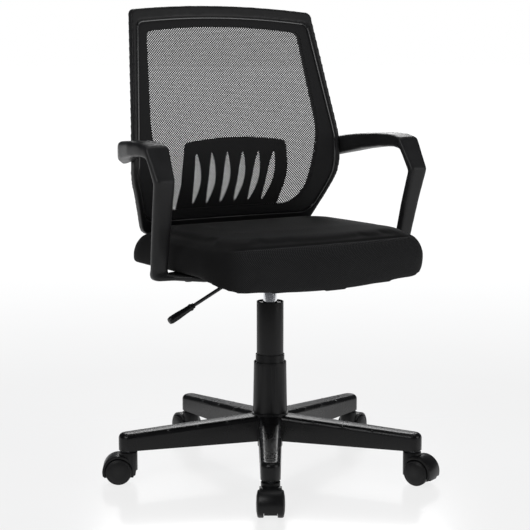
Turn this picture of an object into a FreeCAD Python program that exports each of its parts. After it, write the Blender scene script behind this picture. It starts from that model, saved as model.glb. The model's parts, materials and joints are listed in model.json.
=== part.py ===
import FreeCAD, Part
import math
import os

from FreeCAD import Vector

# Swivel office chair with a mesh back, loop armrests, a gas lift and a five-legged caster base.
# Millimetres. +Z is up, the sitter faces -Y, and the origin is on the floor under the column.

# ---- casters ----
WHEEL_RADIUS = 25.4
WHEEL_INNER = 12.6           # caster centre plane to a wheel's inner face
WHEEL_OUTER = 26.6           # caster centre plane to the middle of a wheel's outer face
CASTER_TRAIL = 19.0          # stem axis to wheel axis
CASTER_SWINGS = (0.0, -16.8, 5.8, -4.5, -15.1)   # each caster's turn from its leg, degrees
TREAD_GAP = 1.6              # between a wheel's tread and the hood
FENDER = 4.5                 # thickness of the hood over the treads
HOOD_RADIUS = WHEEL_RADIUS + TREAD_GAP + FENDER
HOOD_HALF_WIDTH = 20.5
HOOD_WEB_HALF = 12.0
HOOD_BOTTOM = 12.0
HOOD_TOP = WHEEL_RADIUS + HOOD_RADIUS + 4.3
HOOD_COLLAR_RADIUS = 17.8
AXLE_RADIUS = 3.0
AXLE_SHORT = 6.0             # how far inside the wheel's face the axle ends
STEM_RADIUS = 5.5
STEM_BOTTOM = HOOD_TOP - 25.2
STEM_TIP = 2.5               # height of the stem's tapered tip
SOCKET_WALL = 1.6
SOCKET_BOSS = 4.5            # wall of the leg's boss round the socket
LEG_GAP = 4.8                # between the hood's collar and the leg

# ---- star base ----
BASE_RADIUS = 311.0          # column axis to a leg's rounded end
BASE_BOTTOM = HOOD_TOP + LEG_GAP
LEG_WIDTH_HUB = 48.0
LEG_WIDTH_END = 36.6
LEG_TOP_HUB = BASE_BOTTOM + 53.0
LEG_TOP_END = BASE_BOTTOM + 32.6
HUB_TOP = LEG_TOP_HUB + 1.5
LEG_SHOULDER = 10.0          # radius of the leg's upper edges
LEG_WALL = 3.5
LEG_COUNT = 5
LEG_RIBS = (95.0, 155.0, 215.0)
RIB_WALL = 2.5
FIRST_LEG_ANGLE = -123.1     # degrees from +X, as the base happens to stand
STEM_TOP = LEG_TOP_END - 7.6

# ---- gas lift ----
COLUMN_RADIUS = 25.0
COLUMN_WALL = 1.5
COLUMN_BOTTOM = BASE_BOTTOM - 16.0
COLUMN_TOP = 258.0
BUSH_LENGTH = 68.0
LIFT_UP = 20.0               # travel of the seat above this position
TUBE_RADIUS = 14.0
TUBE_WALL = 1.5
TUBE_BOTTOM = 148.0
ROD_RADIUS = 5.0
PISTON_HEIGHT = 10.0
BEARING_HEIGHT = 8.0
BEARING_RADIUS = 15.0
BUMPER_HEIGHT = 3.4
BUTTON_RADIUS = 4.0
BUTTON_STROKE = 3.6

# ---- column cover ----
SLEEVE_WALL = 1.3
LOWER_SLEEVE_WALL = 1.8
UPPER_SLEEVE_RADIUS = COLUMN_RADIUS + 0.6 + SLEEVE_WALL
MIDDLE_SLEEVE_RADIUS = UPPER_SLEEVE_RADIUS + 0.7 + SLEEVE_WALL
LOWER_SLEEVE_RADII = (MIDDLE_SLEEVE_RADIUS + 5.5, MIDDLE_SLEEVE_RADIUS + 3.7)   # at its foot and top
LOWER_SLEEVE_TOP = HUB_TOP + 103.5
MIDDLE_SLEEVE_TOP = LOWER_SLEEVE_TOP + 15.0
MIDDLE_SLEEVE_BOTTOM = HUB_TOP + 11.0
UPPER_SLEEVE_BOTTOM = 203.0
HUB_RADIUS = LOWER_SLEEVE_RADII[0] + 2.1

# ---- seat ----
SEAT_TOP = 488.0
SEAT_HALF_WIDTH = 249.0
SEAT_FRONT = 229.0           # column axis to the middle of the front edge
SEAT_REAR = 167.0            # column axis to the rear edge
SEAT_FRONT_BOW = 12.0        # how far the middle of the front edge stands before its corners
SEAT_FRONT_CORNER = 66.0
SEAT_REAR_CORNER = 76.0
# The cushion's side view as rings: how far in from the plan, and how far below the top of the side.
CUSHION_RINGS = (
    (46.0, 119.0), (24.0, 110.0), (10.0, 96.0), (3.0, 77.0), (0.0, 53.0),
    (0.0, 38.0), (5.0, 21.0), (14.0, 8.0), (30.0, 0.0),
)
CUSHION_CROWN = ((56.0, 7.0), (110.0, 12.0))     # inset, and rise over the top of the side
CUSHION_SIDE_TOP = SEAT_TOP - 0.5
PANEL_BOTTOM = SEAT_TOP - 59.6
PANEL_THICKNESS = 10.0
PANEL_INSET = 9.0
PANEL_DROP_START = 120.0     # where the panel starts to curve down, before the column axis
PANEL_DROP = 64.0            # how far it would curve down a little before the front edge
COVER_THICKNESS = 0.8

# ---- seat plate and lever ----
PLATE_HALF_WIDTH = 42.0
PLATE_FRONT = 95.0
PLATE_REAR = 95.0
PLATE_FLANGE = 34.0
PLATE_STEEL = 2.5
PLATE_DEPTH = 30.0
PLATE_BOLT_INSET = 18.0
BOSS_RADIUS = TUBE_RADIUS + 5.0
BOSS_DROP = 16.0
TUBE_TOP = PANEL_BOTTOM - 24.4
UPPER_SLEEVE_TOP = TUBE_TOP - 58.0
LEVER_RADIUS = 3.5
LEVER_HEIGHT = PANEL_BOTTOM - 15.4
LEVER_PIVOT = 30.0           # column axis to the lever's pivot pin
LEVER_BEND = 50.0            # column axis to the bend in the rod
LEVER_SLOPE = 25.4           # degrees below level, outside the bend
LEVER_ROD_LENGTH = 185.0     # from the bend to the rod's end, inside the grip
GRIP_LENGTH = 60.0
GRIP_RADIUS = 7.6
GRIP_HOLD = 45.0             # length of rod inside the grip
PIVOT_RADIUS = 1.5

# ---- back ----
BACK_TOP_CORNER = SEAT_TOP + 433.0
BACK_TOP_ARCH = 11.0         # rise of the top rail's middle over its corners
BACK_BOTTOM = SEAT_TOP - 14.0
BACK_CREST = SEAT_TOP + 124.5    # height where the two straight runs of the side view would meet
BACK_CREST_Y = 92.3
BACK_RECLINE = 13.4          # lean of the upper run, degrees
BACK_TUCK = 23.5             # lean of the lower run, degrees
BACK_BEND_RADIUS = 230.0
BACK_SAG = 18.0              # the middle lies this far behind the side edges
BACK_DEPTH = 16.0
BACK_HALF_TOP = 213.5
BACK_HALF_WIDEST = 245.5
BACK_HALF_BOTTOM = 198.5
BACK_WIDEST_LOW = SEAT_TOP + 104.0
BACK_WIDEST_HIGH = SEAT_TOP + 176.0
BACK_CREST_ROUND = 100.0     # rounding of the side outline where it is widest
RIM_TOP = 22.0               # cap strip, from the outer edge to the bead
RIM_SIDE = 10.0
RIM_BOTTOM = 27.0
BEAD_WIDTH = 4.0
FIELD_BOTTOM = BACK_BOTTOM + 49.0    # open field of the mesh, inside the frame
FIELD_WIDEST = BACK_WIDEST_HIGH + 20.0
FIELD_TOP_CORNER = BACK_TOP_CORNER - 43.0
FIELD_HALF_BOTTOM = BACK_HALF_BOTTOM - 26.0
FIELD_HALF_WIDEST = BACK_HALF_WIDEST - 46.5
FIELD_HALF_TOP = BACK_HALF_TOP - 33.0
MESH_SINK = 3.0              # mesh face behind the rim's face
MESH_THICKNESS = 1.0
LEDGE_GAP = 0.3

# ---- lumbar plate and back bracket ----
LUMBAR_HALF_WIDTH = 127.0
LUMBAR_TOP = SEAT_TOP + 179.0
LUMBAR_WIDEST = SEAT_TOP + 112.0
LUMBAR_CLOSE = SEAT_TOP + 97.0   # above this height the plate lies close behind the mesh
LUMBAR_ARCH = 9.0
LUMBAR_TAPER = 6.0           # the plate's top and foot are narrower by this on each side
LUMBAR_CORNER = 14.0
LUMBAR_THICKNESS = 3.5
LUMBAR_GAP = 7.0             # behind the back's front face, at the crest
SLOT_COUNT = 6
SLOT_PITCH_TOP = 37.4
SLOT_PITCH_BOTTOM = 33.4
SLOT_TOP = SEAT_TOP + 152.0
SLOT_BOTTOM = SEAT_TOP + 41.0
SLOT_WIDTH = 16.0
RAIL_SCREW_RISE = 16.0       # screws in the lower rail, above its lower edge
LUMBAR_SCREWS = (105.0, 70.0)
BRACKET_WIDTH = 76.0
BRACKET_STEEL = 4.0

# ---- armrests (given for the +X side) ----
ARM_FOOT_THICKNESS = 11.0
ARM_SCREW_END = BACK_HALF_WIDEST + 12.5      # tips of the screws that hold the arm to the back
ARM_SCREW_RADIUS = 1.5
ARM_SCREW_HEIGHTS = (144.0, 164.0)           # above SEAT_TOP
# Each station: outer face's Y and Z, inner face's Y and Z, and the far and near X of the band.
# Z is measured from SEAT_TOP, and X from SEAT_HALF_WIDTH or, at the back, from BACK_HALF_WIDEST.
ARM_BACK_STATIONS = (
    (146.0, 173.0, 146.0, 132.0, 7.0, 1.1),
    (124.0, 175.0, 124.0, 134.0, 21.0, 1.1),
    (95.0, 179.0, 95.0, 141.0, 42.0, 2.5),
)
ARM_SEAT_STATIONS = (
    (55.0, 183.0, 55.0, 150.0, 57.0, 8.0),
    (0.0, 186.0, 0.0, 157.0, 68.0, 14.0),
    (-40.0, 185.0, -46.0, 159.0, 68.5, 16.0),
    (-70.0, 179.0, -68.0, 155.0, 67.5, 17.0),
    (-107.0, 116.0, -88.0, 112.0, 64.5, 23.0),
    (-91.0, 57.0, -71.0, 53.0, 59.0, 21.0),
    (-69.0, -36.0, -50.0, -39.0, 52.0, 18.0),
    (-64.0, -54.0, -45.0, -54.0, 49.5, 16.5),
)
ARM_EDGE = 4.0               # chamfer of the band's long edges
ARM_BOLTS = ((-23.0, -66.0), (-47.0, -84.0), (-51.0, -32.0))     # X from SEAT_HALF_WIDTH, and Y

LAY = 0.05                   # stacked pieces lie this far apart
FAR = 400.0                  # length of cutting prisms that pass right through a piece
FASTENER_RADIUS = 3.0
HOLE_RADIUS = 3.1
HEAD_RADIUS = 6.5
HEAD_HEIGHT = 4.0


def vec(x, y, z):
    return Vector(x, y, z)


def cylinder(radius, low, high, x=0.0, y=0.0):
    return Part.makeCylinder(radius, high - low, vec(x, y, low))


def ring(outer, inner, low, high, x=0.0, y=0.0):
    return cylinder(outer, low, high, x, y).cut(cylinder(inner, low - 1, high + 1, x, y))


def rod_along(radius, start, direction, length):
    return Part.makeCylinder(radius, length, start, direction)


def turned(shape, degrees, centre=Vector(0, 0, 0), axis=Vector(0, 0, 1)):
    copy = shape.copy()
    copy.rotate(centre, axis, degrees)
    return copy


def moved(shape, x, y, z):
    copy = shape.copy()
    copy.translate(vec(x, y, z))
    return copy


def mirrored(shape):
    return shape.mirror(vec(0, 0, 0), vec(1, 0, 0))


def box(x, y, z):
    """A box between (low, high) pairs."""
    return Part.makeBox(x[1] - x[0], y[1] - y[0], z[1] - z[0], vec(x[0], y[0], z[0]))


def closed_face(edges):
    return Part.Face(Part.Wire(edges))


def polygon_face(points):
    return Part.Face(Part.makePolygon(list(points) + [points[0]]))


def line(a, b):
    return Part.LineSegment(a, b).toShape()


def arc(a, middle, b):
    return Part.Arc(a, middle, b).toShape()


def lathe(profile):
    """Turns a closed (radius, height) profile about Z."""
    face = polygon_face([vec(r, 0, z) for r, z in profile])
    return face.revolve(vec(0, 0, 0), vec(0, 0, 1), 360)


# ---------------------------------------------------------------- star base


def leg_section(distance, width, top, low, shoulder):
    """A leg's cross-section with rounded upper edges, at a distance along +X."""
    half = width / 2
    turn = shoulder * (1 - math.sqrt(0.5))
    a = vec(distance, -half, low)
    b = vec(distance, -half, top - shoulder)
    c = vec(distance, -half + shoulder, top)
    d = vec(distance, half - shoulder, top)
    e = vec(distance, half, top - shoulder)
    g = vec(distance, half, low)
    left = vec(distance, -half + turn, top - turn)
    right = vec(distance, half - turn, top - turn)
    return Part.Wire([line(a, b), arc(b, left, c), line(c, d), arc(d, right, e), line(e, g), line(g, a)])


def leg_at(distance):
    """Width and top height of a leg at a distance from the column axis."""
    share = distance / BASE_RADIUS
    width = LEG_WIDTH_HUB + (LEG_WIDTH_END - LEG_WIDTH_HUB) * share
    top = LEG_TOP_HUB + (LEG_TOP_END - LEG_TOP_HUB) * share
    return width, top


def leg_end_centre():
    return BASE_RADIUS - LEG_WIDTH_END / 2


def leg_solid(inset, start, shoulder):
    """A leg with its domed end, shrunk by an inset on every side but the underside."""
    end = leg_end_centre()
    low = BASE_BOTTOM - (1.0 if inset else 0.0)
    wires = []
    for distance in (start, end):
        width, top = leg_at(distance)
        wires.append(leg_section(distance, width - 2 * inset, top - inset, low, shoulder))
    body = Part.makeLoft(wires, True, True)
    width, top = leg_at(end)
    half = width / 2 - inset
    turn = shoulder * (1 - math.sqrt(0.5))
    high = top - inset
    edges = [
        line(vec(end, 0, low), vec(end, half, low)),
        line(vec(end, half, low), vec(end, half, high - shoulder)),
        arc(vec(end, half, high - shoulder), vec(end, half - turn, high - turn),
            vec(end, half - shoulder, high)),
        line(vec(end, half - shoulder, high), vec(end, 0, high)),
        line(vec(end, 0, high), vec(end, 0, low)),
    ]
    dome = closed_face(edges).revolve(vec(end, 0, 0), vec(0, 0, 1), -180)
    return body.fuse(dome)


def star_leg():
    outer = leg_solid(0.0, HUB_RADIUS - 12, LEG_SHOULDER)
    hollow = leg_solid(LEG_WALL, HUB_RADIUS + 6, LEG_SHOULDER - LEG_WALL + 0.5)
    leg = outer.cut(hollow)
    end = leg_end_centre()
    for distance in LEG_RIBS:
        width, top = leg_at(distance)
        across = width / 2 - 1
        rib = box((distance, distance + RIB_WALL), (-across, across), (BASE_BOTTOM + 6, top - 2))
        leg = leg.fuse(rib)
    spine = box((HUB_RADIUS, end - 8), (-RIB_WALL / 2, RIB_WALL / 2), (BASE_BOTTOM + 6, leg_at(end)[1] - 2))
    boss = cylinder(STEM_RADIUS + SOCKET_WALL + SOCKET_BOSS, BASE_BOTTOM, leg_at(end)[1] - 2, end, 0)
    leg = leg.fuse(spine).fuse(boss)
    socket_end = STEM_TOP + STEM_TIP + 0.5
    return leg.cut(cylinder(STEM_RADIUS + SOCKET_WALL + 0.02, BASE_BOTTOM - 2, socket_end, end, 0))


def leg_angles():
    return [FIRST_LEG_ANGLE + 360.0 / LEG_COUNT * i for i in range(LEG_COUNT)]


def stem_places():
    reach = leg_end_centre()
    places = []
    for angle in leg_angles():
        radians = math.radians(angle)
        places.append((reach * math.cos(radians), reach * math.sin(radians)))
    return places


def star_base():
    leg = star_leg()
    base = cylinder(HUB_RADIUS, BASE_BOTTOM, HUB_TOP)
    for angle in leg_angles():
        base = base.fuse(turned(leg, angle))
    return base.cut(cylinder(COLUMN_RADIUS + 0.03, BASE_BOTTOM - 5, HUB_TOP + 5)).removeSplitter()


def at_each_stem(shape):
    return Part.makeCompound([moved(shape, x, y, 0) for x, y in stem_places()])


# ---------------------------------------------------------------- casters


def caster_stem():
    """Plain pin with a tapered tip, pressed into the leg's socket."""
    pin = cylinder(STEM_RADIUS, STEM_BOTTOM, STEM_TOP)
    tip = Part.makeCone(STEM_RADIUS, STEM_RADIUS - 1.5, STEM_TIP, vec(0, 0, STEM_TOP))
    return pin.fuse(tip)


def wheel_clearance(side):
    reach = WHEEL_OUTER + 4
    start = vec(CASTER_TRAIL, side * HOOD_WEB_HALF, WHEEL_RADIUS)
    return rod_along(WHEEL_RADIUS + TREAD_GAP, start, vec(0, side, 0), reach)


def hood_disc(radius, half_width):
    start = vec(CASTER_TRAIL, -half_width, WHEEL_RADIUS)
    return rod_along(radius, start, vec(0, 1, 0), 2 * half_width)


def caster_hood():
    """Web between the wheels, fender over their treads, and the collar round the stem."""
    fender = hood_disc(HOOD_RADIUS, HOOD_HALF_WIDTH)
    low = WHEEL_RADIUS - 9.0
    far = CASTER_TRAIL + HOOD_RADIUS + 5
    fender = fender.common(box((CASTER_TRAIL - 20, far), (-40, 40), (low, 90)))
    web = hood_disc(HOOD_RADIUS, HOOD_WEB_HALF)
    web = web.common(box((-40, far), (-40, 40), (HOOD_BOTTOM, 90)))
    collar = cylinder(HOOD_COLLAR_RADIUS, WHEEL_RADIUS, HOOD_TOP)
    heel = cylinder(HOOD_COLLAR_RADIUS, HOOD_BOTTOM + 4, WHEEL_RADIUS)
    heel = heel.common(hood_disc(CASTER_TRAIL + HOOD_COLLAR_RADIUS - 3, HOOD_HALF_WIDTH))
    hood = fender.fuse(web).fuse(collar).fuse(heel)
    for side in (1, -1):
        hood = hood.cut(wheel_clearance(side))
    hood = hood.cut(cylinder(STEM_RADIUS + 0.06, STEM_BOTTOM - 0.3, HOOD_TOP + 5))
    bore = rod_along(AXLE_RADIUS, vec(CASTER_TRAIL, -40, WHEEL_RADIUS), vec(0, 1, 0), 80)
    return hood.cut(bore).removeSplitter()


def caster_axle():
    reach = WHEEL_OUTER - AXLE_SHORT
    return rod_along(AXLE_RADIUS, vec(CASTER_TRAIL, -reach, WHEEL_RADIUS), vec(0, 1, 0), 2 * reach)


def caster_wheel(side):
    """A wheel with a flat tread, a rounded shoulder, a rim groove and a domed face."""
    face = WHEEL_OUTER - WHEEL_INNER
    profile = [
        (AXLE_RADIUS + 0.05, 0),
        (WHEEL_RADIUS - 1.2, 0),
        (WHEEL_RADIUS, 1.2),
        (WHEEL_RADIUS, face - 5.5),
        (WHEEL_RADIUS - 0.8, face - 3.6),
        (WHEEL_RADIUS - 2.6, face - 2.2),
        (WHEEL_RADIUS - 3.4, face - 2.9),
        (WHEEL_RADIUS - 4.4, face - 2.0),
        (WHEEL_RADIUS - 12, face - 0.6),
        (0, face),
        (0, face - 5.0),
        (AXLE_RADIUS + 0.05, face - 5.0),
    ]
    wheel = lathe(profile)
    wheel.rotate(vec(0, 0, 0), vec(1, 0, 0), -90 * side)
    wheel.translate(vec(CASTER_TRAIL, side * WHEEL_INNER, WHEEL_RADIUS))
    return wheel


def placed_caster(shape, index):
    angle = leg_angles()[index] + CASTER_SWINGS[index]
    x, y = stem_places()[index]
    return moved(turned(shape, angle), x, y, 0)


# ---------------------------------------------------------------- gas lift and column cover


def column_tube():
    tube = ring(COLUMN_RADIUS, COLUMN_RADIUS - COLUMN_WALL, COLUMN_BOTTOM, COLUMN_TOP)
    floor = ring(COLUMN_RADIUS - 0.5, ROD_RADIUS + 2, COLUMN_BOTTOM, COLUMN_BOTTOM + 3)
    return tube.fuse(floor)


def column_bush():
    return ring(COLUMN_RADIUS - COLUMN_WALL, TUBE_RADIUS + 0.05, COLUMN_TOP - BUSH_LENGTH, COLUMN_TOP)


def bearing_low():
    return COLUMN_BOTTOM + 3


def thrust_bearing():
    low = bearing_low()
    high = low + BEARING_HEIGHT
    lower_race = ring(BEARING_RADIUS, ROD_RADIUS + 0.05, low, low + 2)
    upper_race = ring(BEARING_RADIUS, ROD_RADIUS + 0.05, high - 2, high)
    pitch = (BEARING_RADIUS + ROD_RADIUS) / 2 + 0.5
    balls = []
    for i in range(9):
        angle = math.radians(40 * i)
        centre = vec(pitch * math.cos(angle), pitch * math.sin(angle), (low + high) / 2)
        balls.append(Part.makeSphere((BEARING_HEIGHT - 4) / 2 - 0.02, centre))
    return Part.makeCompound([lower_race, upper_race] + balls)


def shoulder_low():
    return bearing_low() + BEARING_HEIGHT + 0.05


def piston_low():
    return TUBE_BOTTOM + LIFT_UP + 15


def piston_rod():
    rod = cylinder(ROD_RADIUS, COLUMN_BOTTOM - 8, piston_low() + PISTON_HEIGHT)
    shoulder = cylinder(9.0, shoulder_low(), shoulder_low() + 3)
    return rod.fuse(shoulder)


def rod_clip():
    low = COLUMN_BOTTOM - 3.3
    washer = ring(11.0, ROD_RADIUS + 0.02, low, low + 3)
    return washer.fuse(ring(8.0, ROD_RADIUS + 0.02, low - 1.5, low))


def bumper():
    low = shoulder_low() + 3
    return ring(12.0, ROD_RADIUS + 0.02, low, low + BUMPER_HEIGHT)


def piston():
    radius = TUBE_RADIUS - TUBE_WALL - 0.05
    return ring(radius, ROD_RADIUS + 0.02, piston_low(), piston_low() + PISTON_HEIGHT)


def rod_seal():
    return ring(TUBE_RADIUS - TUBE_WALL, ROD_RADIUS + 0.05, TUBE_BOTTOM, TUBE_BOTTOM + 12)


def pressure_tube():
    """The tube that carries the seat: open below for its rod seal, closed above round the valve."""
    tube = ring(TUBE_RADIUS, TUBE_RADIUS - TUBE_WALL, TUBE_BOTTOM, TUBE_TOP)
    cap = cylinder(TUBE_RADIUS - 0.5, TUBE_TOP - 12, TUBE_TOP)
    return tube.fuse(cap).cut(cylinder(BUTTON_RADIUS + 0.05, TUBE_TOP - 9, TUBE_TOP + 1))


def button_top():
    return LEVER_HEIGHT - LEVER_RADIUS - 0.3


def valve_button():
    low = TUBE_TOP - 9 + BUTTON_STROKE + 0.3
    return cylinder(BUTTON_RADIUS, low, button_top())


def lower_sleeve():
    foot, top = LOWER_SLEEVE_RADII
    low = HUB_TOP
    skin = Part.makeCone(foot, top, LOWER_SLEEVE_TOP - low, vec(0, 0, low))
    wall = LOWER_SLEEVE_WALL
    hollow = Part.makeCone(foot - wall, top - wall, LOWER_SLEEVE_TOP - low, vec(0, 0, low))
    foot_lip = ring(foot - 0.5, COLUMN_RADIUS + 0.03, low, low + 2.0)
    return skin.cut(hollow).fuse(foot_lip)


def middle_sleeve():
    wall = SLEEVE_WALL
    outer = MIDDLE_SLEEVE_RADIUS
    skin = ring(outer, outer - wall, MIDDLE_SLEEVE_BOTTOM, MIDDLE_SLEEVE_TOP)
    catch = ring(LOWER_SLEEVE_RADII[1] - LOWER_SLEEVE_WALL - 0.3, outer - 0.2, MIDDLE_SLEEVE_BOTTOM,
                 MIDDLE_SLEEVE_BOTTOM + 3)
    return skin.fuse(catch)


def upper_sleeve():
    wall = SLEEVE_WALL
    outer = UPPER_SLEEVE_RADIUS
    skin = ring(outer, outer - wall, UPPER_SLEEVE_BOTTOM, UPPER_SLEEVE_TOP)
    lid = ring(outer - 0.5, TUBE_RADIUS + 0.3, UPPER_SLEEVE_TOP - 6, UPPER_SLEEVE_TOP - 3)
    return skin.fuse(lid)


# ---------------------------------------------------------------- seat


def seat_outline(inset, height):
    """The seat's plan as a closed wire: bowed front edge, straight sides and rear, round corners."""
    half = SEAT_HALF_WIDTH - inset
    front = -(SEAT_FRONT - inset)
    shoulder = front + SEAT_FRONT_BOW
    rear = SEAT_REAR - inset
    rf = max(SEAT_FRONT_CORNER - inset * 0.5, 12.0)
    rr = max(SEAT_REAR_CORNER - inset * 0.5, 12.0)
    cut = math.sqrt(0.5)

    def p(x, y):
        return vec(x, y, height)

    edges = [
        arc(p(-half + rf, shoulder), p(0, front), p(half - rf, shoulder)),
        arc(p(half - rf, shoulder), p(half - rf + rf * cut, shoulder + rf - rf * cut),
            p(half, shoulder + rf)),
        line(p(half, shoulder + rf), p(half, rear - rr)),
        arc(p(half, rear - rr), p(half - rr + rr * cut, rear - rr + rr * cut), p(half - rr, rear)),
        line(p(half - rr, rear), p(-half + rr, rear)),
        arc(p(-half + rr, rear), p(-half + rr - rr * cut, rear - rr + rr * cut), p(-half, rear - rr)),
        line(p(-half, rear - rr), p(-half, shoulder + rf)),
        arc(p(-half, shoulder + rf), p(-half + rf - rf * cut, shoulder + rf - rf * cut),
            p(-half + rf, shoulder)),
    ]
    return Part.Wire(edges)


def plan_prism(inset):
    """The seat's plan as a tall prism that passes right through the panel and the cushion."""
    return Part.Face(seat_outline(inset, SEAT_TOP - FAR / 2)).extrude(vec(0, 0, FAR))


def panel_strip(offset, thickness):
    """The panel's side view, level and then curving down at the front, extruded across the seat."""
    start = -PANEL_DROP_START
    nose = -(SEAT_FRONT + 20)
    run = start - nose
    radius = (run * run + PANEL_DROP * PANEL_DROP) / (2 * PANEL_DROP)
    centre = vec(-400, start, PANEL_BOTTOM - radius)
    low = radius + offset
    high = low + thickness
    end_angle = math.asin(run / radius)

    def on(r, angle):
        return vec(-400, centre.y - r * math.sin(angle), centre.z + r * math.cos(angle))

    rear = SEAT_REAR + 40
    edges = [
        line(vec(-400, rear, centre.z + low), on(low, 0)),
        arc(on(low, 0), on(low, end_angle / 2), on(low, end_angle)),
        line(on(low, end_angle), on(high, end_angle)),
        arc(on(high, end_angle), on(high, end_angle / 2), on(high, 0)),
        line(on(high, 0), vec(-400, rear, centre.z + high)),
        line(vec(-400, rear, centre.z + high), vec(-400, rear, centre.z + low)),
    ]
    return closed_face(edges).extrude(vec(800, 0, 0))


def seat_bolt_places():
    x = PLATE_HALF_WIDTH + PLATE_FLANGE / 2
    front = -PLATE_FRONT + PLATE_BOLT_INSET
    rear = PLATE_REAR - PLATE_BOLT_INSET
    return [(side * x, y) for side in (1, -1) for y in (front, rear)]


def one_arm_bolts():
    return [(SEAT_HALF_WIDTH + x, y) for x, y in ARM_BOLTS]


def arm_bolt_places():
    return [(sx * x, y) for sx in (1, -1) for x, y in one_arm_bolts()]


def bracket_bolt_places():
    return [(sx * BRACKET_WIDTH / 4, SEAT_REAR - 25) for sx in (1, -1)]


def under_seat_holes(radius, low, high):
    places = seat_bolt_places() + arm_bolt_places() + bracket_bolt_places()
    return Part.makeCompound([cylinder(radius, low, high, x, y) for x, y in places])


def seat_panel():
    panel = panel_strip(0, PANEL_THICKNESS).common(plan_prism(PANEL_INSET))
    return panel.cut(under_seat_holes(HOLE_RADIUS, PANEL_BOTTOM - 2, PANEL_BOTTOM + PANEL_THICKNESS + 2))


def seat_underside_cover():
    sheet = panel_strip(-COVER_THICKNESS - LAY, COVER_THICKNESS).common(plan_prism(PANEL_INSET + 6))
    return sheet.cut(under_seat_holes(HOLE_RADIUS, PANEL_BOTTOM - 20, PANEL_BOTTOM + 2))


def seat_cushion():
    """Upholstered pad with soft edges, wrapped round the rim of the panel it lies on."""
    wires = [seat_outline(inset, CUSHION_SIDE_TOP - below) for inset, below in CUSHION_RINGS]
    wires += [seat_outline(inset, CUSHION_SIDE_TOP + rise) for inset, rise in CUSHION_CROWN]
    body = Part.makeLoft(wires, True, True)
    body = body.cut(panel_strip(-150, 150))
    rim = plan_prism(PANEL_INSET - 0.3)
    return body.cut(panel_strip(-1, PANEL_THICKNESS + 1.3).common(rim))


# ---------------------------------------------------------------- seat plate and lever


def plate_top():
    return PANEL_BOTTOM - COVER_THICKNESS - 2 * LAY


def seat_plate():
    """Pressed channel with side flanges, the socket for the pressure tube and the lever's ears."""
    top = plate_top()
    low = top - PLATE_DEPTH
    wide = PLATE_HALF_WIDTH
    span = (-PLATE_FRONT, PLATE_REAR)
    steel = PLATE_STEEL
    plate = box((-wide, wide), span, (low, low + steel))
    for side in (1, -1):
        near, far = sorted((side * (wide - steel), side * wide))
        plate = plate.fuse(box((near, far), span, (low, top)))
        near, far = sorted((side * (wide - steel), side * (wide + PLATE_FLANGE)))
        plate = plate.fuse(box((near, far), span, (top - steel, top)))
    plate = plate.fuse(box((-wide, wide), (PLATE_REAR - steel, PLATE_REAR), (low, top)))
    plate = plate.fuse(box((-wide, wide), (-PLATE_FRONT, -PLATE_FRONT + steel), (low, top)))
    plate = plate.fuse(cylinder(BOSS_RADIUS, low - BOSS_DROP, TUBE_TOP - 2))
    plate = plate.cut(cylinder(TUBE_RADIUS + 0.02, low - 40, TUBE_TOP + 5))
    for side in (1, -1):
        near, far = sorted((side * (LEVER_RADIUS + 0.5), side * (LEVER_RADIUS + 2.5)))
        ear = box((-LEVER_PIVOT - 5, -LEVER_PIVOT + 5), (near, far), (low + 1, LEVER_HEIGHT + 6))
        plate = plate.fuse(ear)
    pivot = rod_along(PIVOT_RADIUS + 0.02, vec(-LEVER_PIVOT, -20, LEVER_HEIGHT), vec(0, 1, 0), 40)
    slot = rod_along(LEVER_RADIUS + 2.2, vec(-wide - 1, 0, LEVER_HEIGHT), vec(1, 0, 0), steel + 2)
    plate = plate.cut(pivot).cut(slot)
    holes = [cylinder(HOLE_RADIUS, top - 20, top + 5, x, y) for x, y in seat_bolt_places()]
    return plate.cut(Part.makeCompound(holes)).removeSplitter()


def lever_pivot_pin():
    reach = LEVER_RADIUS + 4
    return rod_along(PIVOT_RADIUS, vec(-LEVER_PIVOT, -reach, LEVER_HEIGHT), vec(0, 1, 0), 2 * reach)


def lever_direction():
    slope = math.radians(LEVER_SLOPE)
    return vec(-math.cos(slope), 0, -math.sin(slope))


def lever_point(distance):
    """A point on the lever's axis, measured outwards from the bend."""
    return vec(-LEVER_BEND, 0, LEVER_HEIGHT) + lever_direction() * distance


def lever_rod():
    inner_length = LEVER_BEND + BUTTON_RADIUS
    inner = rod_along(LEVER_RADIUS, vec(-LEVER_BEND, 0, LEVER_HEIGHT), vec(1, 0, 0), inner_length)
    bend = Part.makeSphere(LEVER_RADIUS, lever_point(0))
    outer = rod_along(LEVER_RADIUS, lever_point(0), lever_direction(), LEVER_ROD_LENGTH)
    rod = inner.fuse(bend).fuse(outer)
    pivot = rod_along(PIVOT_RADIUS + 0.05, vec(-LEVER_PIVOT, -20, LEVER_HEIGHT), vec(0, 1, 0), 40)
    return rod.cut(pivot)


def lever_grip():
    """Tapered grip with a stepped collar and lengthwise flutes, pressed on the rod's end."""
    profile = [
        (0, 0), (5.4, 0), (5.4, 4), (7.0, 5.5), (7.0, 9), (6.2, 10.5), (6.6, 22),
        (GRIP_RADIUS, 40), (GRIP_RADIUS, 55), (6.0, GRIP_LENGTH), (0, GRIP_LENGTH),
    ]
    grip = lathe(profile)
    for i in range(8):
        angle = math.radians(45 * i)
        reach = GRIP_RADIUS + 1.5
        groove = cylinder(2.2, 12, GRIP_LENGTH - 4, reach * math.cos(angle), reach * math.sin(angle))
        grip = grip.cut(groove)
    start = LEVER_ROD_LENGTH - GRIP_HOLD
    grip.rotate(vec(0, 0, 0), vec(0, 1, 0), -90 - LEVER_SLOPE)
    foot = lever_point(start)
    grip.translate(foot)
    bore = rod_along(LEVER_RADIUS, lever_point(start - 1), lever_direction(), GRIP_HOLD + 1)
    return grip.cut(bore)


# ---------------------------------------------------------------- back


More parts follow.
